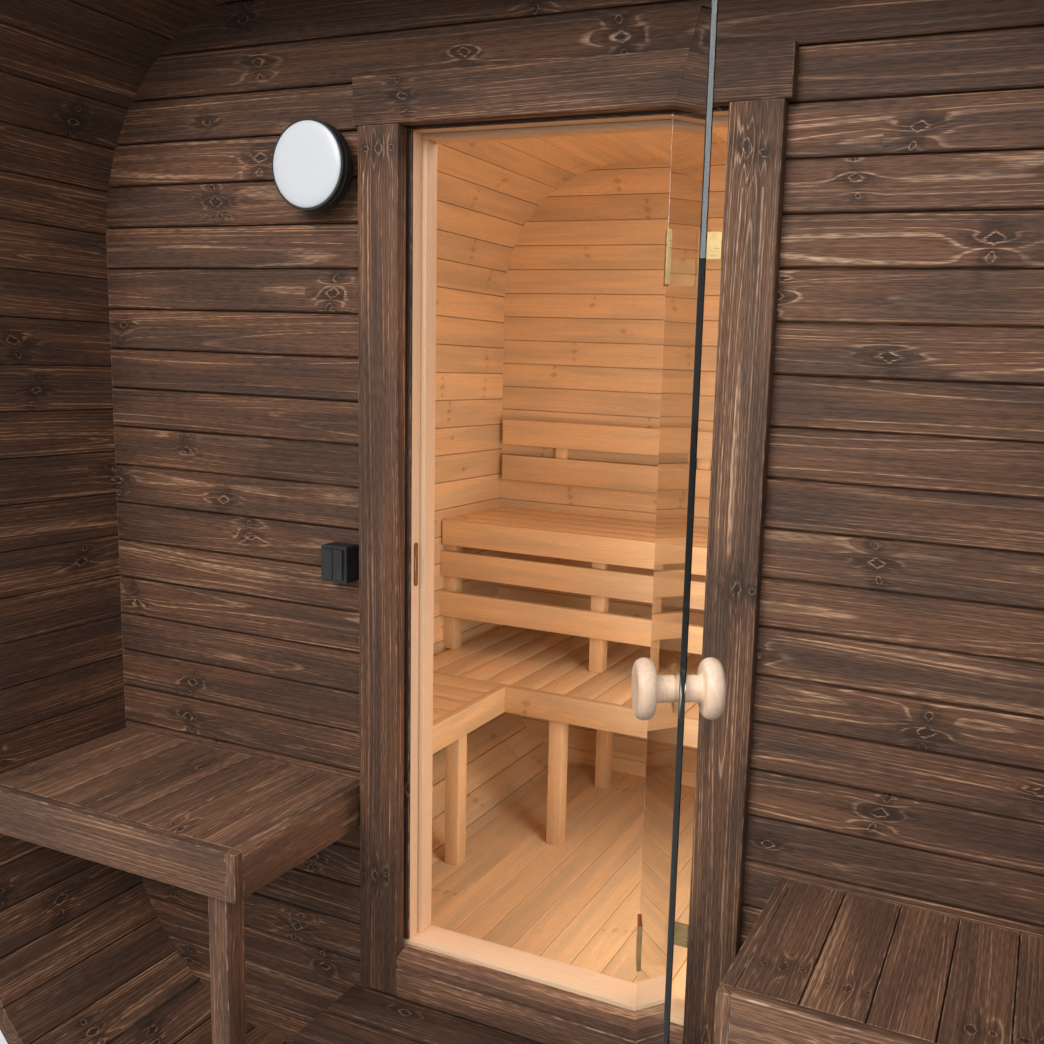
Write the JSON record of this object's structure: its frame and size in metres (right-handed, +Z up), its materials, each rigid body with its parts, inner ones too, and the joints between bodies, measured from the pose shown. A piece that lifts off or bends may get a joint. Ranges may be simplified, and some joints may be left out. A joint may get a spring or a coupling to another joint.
{
  "type": "outdoor sauna",
  "caption": "Outdoor sauna: rounded timber shell on cradles, stained terrace with slatted benches, hinged glass door, and a pale steam room with stepped benches.",
  "frame": {"origin": "centre of the bounding box at ground level, with the door standing open as at rest", "axes": "+X to the right of someone facing the door, +Y from the terrace to the back wall, +Z up; the front faces -Y"},
  "size_m": [2.352, 2.506, 2.471],
  "materials": {
    "stained_pine": "dark brown stain with brushed grain",
    "room_spruce": "planed, untreated",
    "frame_spruce": "planed, untreated",
    "turned_beech": "turned and sanded",
    "clear_glass": "clear toughened",
    "hinge_metal": "satin",
    "rose_steel": "satin",
    "bronze_strike": "satin bronze",
    "band_steel": "satin stainless",
    "lamp_black": "matt black",
    "lamp_opal": "opal white",
    "switch_black": "matt black"
  },
  "bodies": {
    "building": {"back_wall": "room_spruce", "backrest": "room_spruce", "backrest_battens": "room_spruce", "bands": "band_steel", "bench_skirt": "room_spruce", "casing_head": "stained_pine", "casing_left": "stained_pine", "casing_right": "stained_pine", "cradles": "stained_pine", "door_frame": "frame_spruce", "door_sill": "stained_pine", "frame_hinges": "hinge_metal", "front_wall_below_door": "stained_pine", "front_wall_left": "stained_pine", "front_wall_over_door": "stained_pine", "front_wall_right": "stained_pine", "lamp_base": "lamp_black", "lamp_diffuser": "lamp_opal", "lower_bench_back": "room_spruce", "lower_bench_legs": "room_spruce", "lower_bench_side": "room_spruce", "room_floor": "room_spruce", "shell_bottom": "stained_pine", "shell_corner_low_left": "stained_pine", "shell_corner_low_right": "stained_pine", "shell_corner_top_left": "stained_pine", "shell_corner_top_right": "stained_pine", "shell_roof": "stained_pine", "shell_wall_left": "stained_pine", "shell_wall_right": "stained_pine", "strike_plate": "bronze_strike", "switch_box": "switch_black", "switch_rockers": "switch_black", "terrace_bench_left": "stained_pine", "terrace_bench_legs": "stained_pine", "terrace_bench_right": "stained_pine", "terrace_deck": "stained_pine", "threshold": "frame_spruce", "upper_bench": "room_spruce"},
    "door": {"door_glass": "clear_glass", "door_hinges": "hinge_metal", "knob_inner": "turned_beech", "knob_outer": "turned_beech", "knob_roses": "rose_steel"}
  },
  "joints": [
    {"name": "door_hinge", "type": "hinge", "parent": "building", "child": "door", "pos_m": [0.294, -0.67302, 1.254], "axis": [0, 0, 1], "range_deg": [-114.5, 8]}
  ]
}
